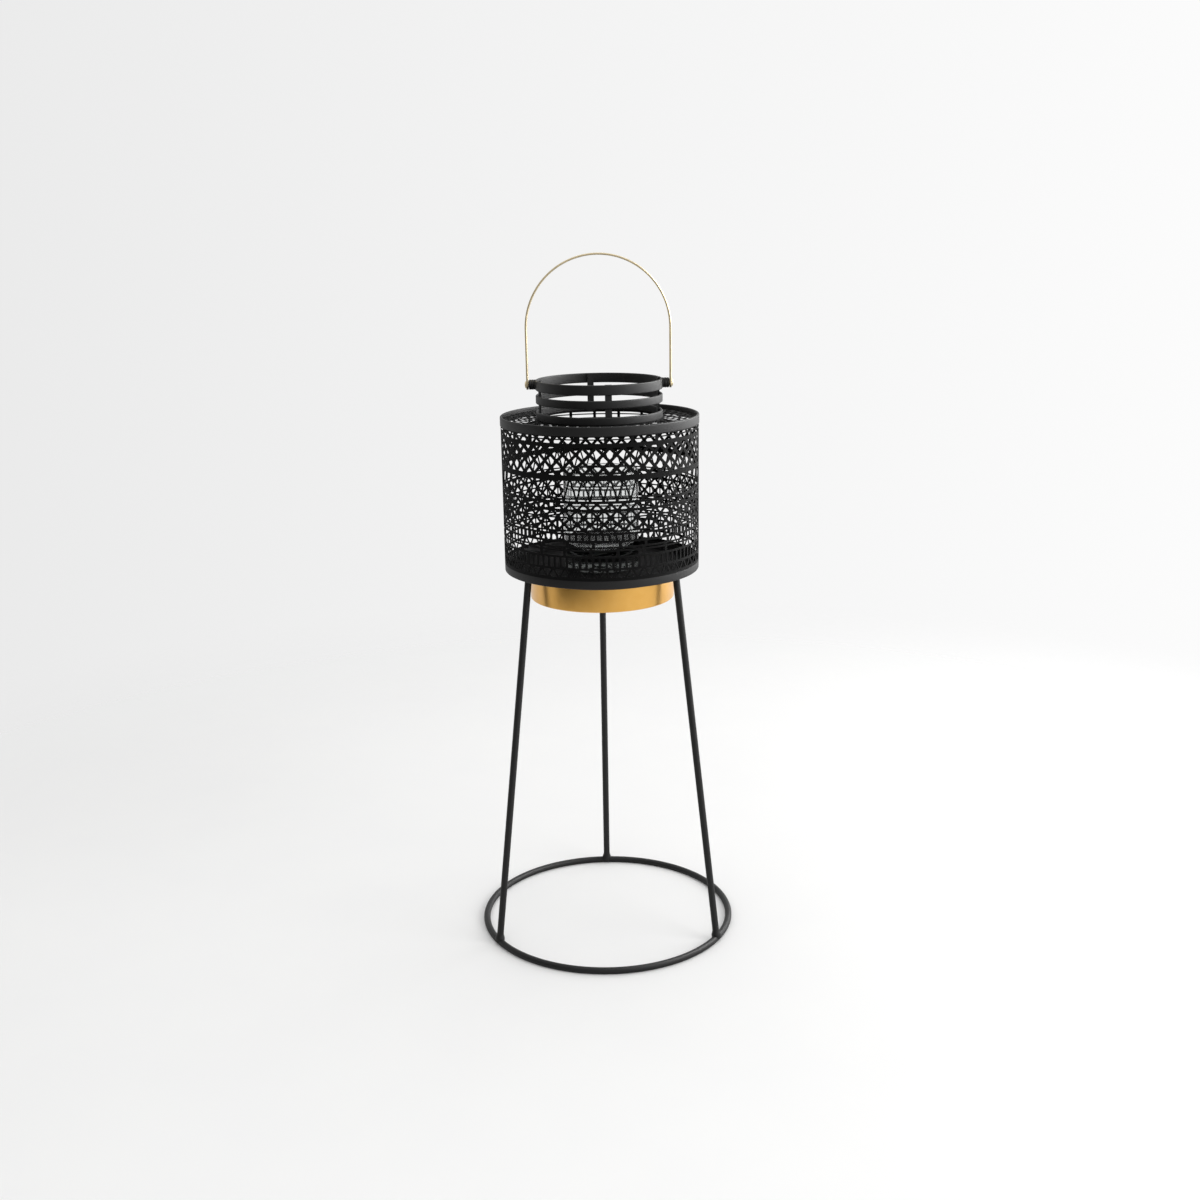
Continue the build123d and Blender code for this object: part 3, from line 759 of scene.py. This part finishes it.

# Studio
# A white paper floor under the stand that fades into a plain white surround, with soft lamps to the right, at
# the front, above and behind on the right.  Two screens bent round the stand are painted reflections, which
# only glossy reflections show and which cast no shadow: a dark one round the left and front paints darker
# reflections there, and a glowing one at the right paints a bright reflection.
FLOOR_RADIUS = 1.5               # metres, as are all sizes in the studio
FLOOR_STEPS = 96
FLOOR_FADE = (0.55, 1.4)         # distances from the axis where the paper starts and ends to fade
SURROUND_LEFT, SURROUND_RIGHT = 0.83, 0.97   # brightness of the surround at the picture's sides, 1 is white
PICTURE_SIDE = 0.38              # sideways part of a look towards those sides
DAYLIGHT = 0.70                  # brightness of the surround as a light
SCREEN_RADIUS = 1.15
SCREEN_STEPS = 48
DARK_HEIGHTS, LIT_HEIGHTS = (0.0, 1.3), (0.65, 1.7)      # lower and upper edges
DARK_ANGLES, LIT_ANGLES = (195, 310), (-27, 65)  # degrees round the axis: 0 is the right, 270 the front
# The dark screen paints darker reflections on the left and front; it casts no shadow.
DARK_FADE = (-0.9, 0.7)          # sideways from where the dark cloth is whole to where it ends
# The lit screen is a painted reflection: its glow shows only in glossy reflections and lights no matt
# surface.
LIT_GLOW = 17.0                  # brightness of the lit cloth in its middle, 1 is white
LIT_MIDDLE = 0.26                # how far behind the axis the lit cloth is brightest
LIT_FADE = (0.1, 0.78)           # distances from there where it starts to fade and where it is dark
LAMP_AIM = np.array([0.0, 0.0, 0.4])
NEARLY_UPRIGHT = 0.95            # upright part of a lamp's direction past which it counts as overhead
# Each lamp's place, width and power in watts.
LAMPS = {"key_softbox": ((1.7, -1.0, 1.15), 1.2, 15.0), "fill_softbox": ((-0.7, -1.8, 1.5), 1.0, 4.0),
         "top_softbox": ((0.1, 0.4, 2.0), 1.4, 5.0), "edge_softbox": ((1.5, 0.9, 0.7), 1.2, 12.0)}


def paper_floor():
    """White background paper: matt, very slightly mottled, fading out with distance from the axis."""
    material, tree, surface = new_material("white_background_paper")
    place = add_node(tree, "ShaderNodeTexCoord")
    mottle = add_node(tree, "ShaderNodeTexNoise", {"Scale": 1 / (120 * MM), "Detail": 2.0},
                      {"Vector": place.outputs["Object"]})
    colour = mix_colours(tree, mottle.outputs["Fac"], linear_colour("F6F6F5"), linear_colour("F3F3F3"))
    paper = add_node(tree, "ShaderNodeBsdfDiffuse", links={"Color": colour})
    distance = add_node(tree, "ShaderNodeVectorMath", {"operation": "LENGTH"}, {0: place.outputs["Object"]})
    fade = add_node(tree, "ShaderNodeMapRange",
                    {"interpolation_type": "SMOOTHSTEP", "From Min": FLOOR_FADE[0],
                     "From Max": FLOOR_FADE[1]},
                    {"Value": distance.outputs["Value"]})
    clear = add_node(tree, "ShaderNodeBsdfTransparent")
    mixed = add_node(tree, "ShaderNodeMixShader", links={0: fade.outputs["Result"], 1: paper.outputs["BSDF"],
                                                         2: clear.outputs["BSDF"]})
    tree.links.new(mixed.outputs["Shader"], surface)
    return material


def dark_reflection_sheet():
    """A painted dark reflection: a dark grey sheet that only glossy reflections show, whole on the left and
    fading out to clear towards the right.
    """
    material, tree, surface = new_material("painted_dark_reflection")
    place = add_node(tree, "ShaderNodeTexCoord")
    across = add_node(tree, "ShaderNodeSeparateXYZ", links={"Vector": place.outputs["Object"]})
    thin = add_node(tree, "ShaderNodeMapRange", {"From Min": DARK_FADE[0], "From Max": DARK_FADE[1]},
                    {"Value": across.outputs["X"]})
    cloth = add_node(tree, "ShaderNodeBsdfDiffuse", {"Color": linear_colour("2A2825")})
    clear = add_node(tree, "ShaderNodeBsdfTransparent")
    mixed = add_node(tree, "ShaderNodeMixShader", links={0: thin.outputs["Result"], 1: cloth.outputs["BSDF"],
                                                         2: clear.outputs["BSDF"]})
    tree.links.new(mixed.outputs["Shader"], surface)
    return material


def reflection_glow_sheet():
    """A painted reflection: a white glow that only glossy reflections show, bright in the middle and fading
    to both upright edges.
    """
    material, tree, surface = new_material("painted_reflection_glow")
    place = add_node(tree, "ShaderNodeTexCoord")
    along = add_node(tree, "ShaderNodeSeparateXYZ", links={"Vector": place.outputs["Object"]})
    aside = add_node(tree, "ShaderNodeMath", {"operation": "SUBTRACT", 1: LIT_MIDDLE},
                     {0: along.outputs["Y"]})
    distance = add_node(tree, "ShaderNodeMath", {"operation": "ABSOLUTE"}, {0: aside.outputs["Value"]})
    fade = add_node(tree, "ShaderNodeMapRange",
                    {"interpolation_type": "SMOOTHSTEP", "From Min": LIT_FADE[0], "From Max": LIT_FADE[1],
                     "To Min": LIT_GLOW, "To Max": 0.0},
                    {"Value": distance.outputs["Value"]})
    glow = add_node(tree, "ShaderNodeEmission", {"Color": linear_colour("FFFFFF")},
                    {"Strength": fade.outputs["Result"]})
    tree.links.new(glow.outputs["Emission"], surface)
    return material


def stage_piece(name, points, faces, material):
    """A mesh object that belongs to the studio."""
    piece = new_object(name, points, faces, material)
    return piece


def bent_screen(name, angles, heights, material):
    """An upright screen bent round the axis, which only reflections show: a point at angle a is
    (radius cos a, radius sin a, height)."""
    angle = np.radians(np.linspace(*angles, SCREEN_STEPS))[None, :]
    height = np.array(heights)[:, None]
    points = np.stack([SCREEN_RADIUS * np.cos(angle) + 0 * height, SCREEN_RADIUS * np.sin(angle) + 0 * height,
                       height + 0 * angle], axis=-1)
    faces = grid_faces(len(heights), SCREEN_STEPS, close_rows=False, close_columns=False)
    screen = stage_piece(name, points, faces, material)
    screen.visible_camera = False
    screen.visible_diffuse = False
    screen.visible_transmission = False
    screen.visible_shadow = False


paper_points = np.column_stack([circle(FLOOR_RADIUS, FLOOR_STEPS), np.zeros(FLOOR_STEPS)])
stage_piece("studio_floor", paper_points, [list(range(FLOOR_STEPS))], paper_floor())
# A dark screen round the left and front: painted darker reflections there, which cast no shadow.
bent_screen("studio_dark_reflection_screen", DARK_ANGLES, DARK_HEIGHTS, dark_reflection_sheet())
# A glowing screen at the right: a painted bright reflection, seen only in glossy surfaces.
bent_screen("studio_reflection_glow_screen", LIT_ANGLES, LIT_HEIGHTS, reflection_glow_sheet())

world = bpy.data.worlds.new("studio_surround")
bpy.context.scene.world = world
world.use_nodes = True
world_tree = world.node_tree
world_tree.nodes.clear()
ray = add_node(world_tree, "ShaderNodeLightPath")
seen = add_node(world_tree, "ShaderNodeMath", {"operation": "MAXIMUM"},
                {0: ray.outputs["Is Camera Ray"], 1: ray.outputs["Is Glossy Ray"]})
seen_through = add_node(world_tree, "ShaderNodeMath", {"operation": "MAXIMUM"},
                        {0: seen.outputs["Value"], 1: ray.outputs["Is Transmission Ray"]})
light = add_node(world_tree, "ShaderNodeBackground", {"Color": linear_colour("FFFFFF"), "Strength": DAYLIGHT})
look = add_node(world_tree, "ShaderNodeTexCoord")
look_axes = add_node(world_tree, "ShaderNodeSeparateXYZ", links={"Vector": look.outputs["Generated"]})
side_light = add_node(world_tree, "ShaderNodeMapRange",
                      {"From Min": -PICTURE_SIDE, "From Max": PICTURE_SIDE, "To Min": SURROUND_LEFT,
                       "To Max": SURROUND_RIGHT},
                      {"Value": look_axes.outputs["X"]})
surround = add_node(world_tree, "ShaderNodeBackground", {"Color": linear_colour("FFFFFF")},
                    {"Strength": side_light.outputs["Result"]})
world_mix = add_node(world_tree, "ShaderNodeMixShader",
                     links={0: seen_through.outputs["Value"], 1: light.outputs["Background"],
                            2: surround.outputs["Background"]})
add_node(world_tree, "ShaderNodeOutputWorld", links={"Surface": world_mix.outputs["Shader"]})

for name, (place, size, power) in LAMPS.items():
    lamp_data = bpy.data.lights.new(name, "AREA")
    lamp_data.size = size
    lamp_data.energy = power
    lamp = bpy.data.objects.new(name, lamp_data)
    away = np.array(place) - LAMP_AIM
    away /= np.linalg.norm(away)
    level = np.cross([0.0, 1.0, 0.0] if abs(away[2]) > NEARLY_UPRIGHT else UP, away)
    level /= np.linalg.norm(level)
    lamp.matrix_world = placed(level, np.cross(away, level), away, place)
    lamp.visible_transmission = False    # not seen through the glass
    bpy.context.scene.collection.objects.link(lamp)

bpy.context.scene.view_settings.view_transform = "Standard"
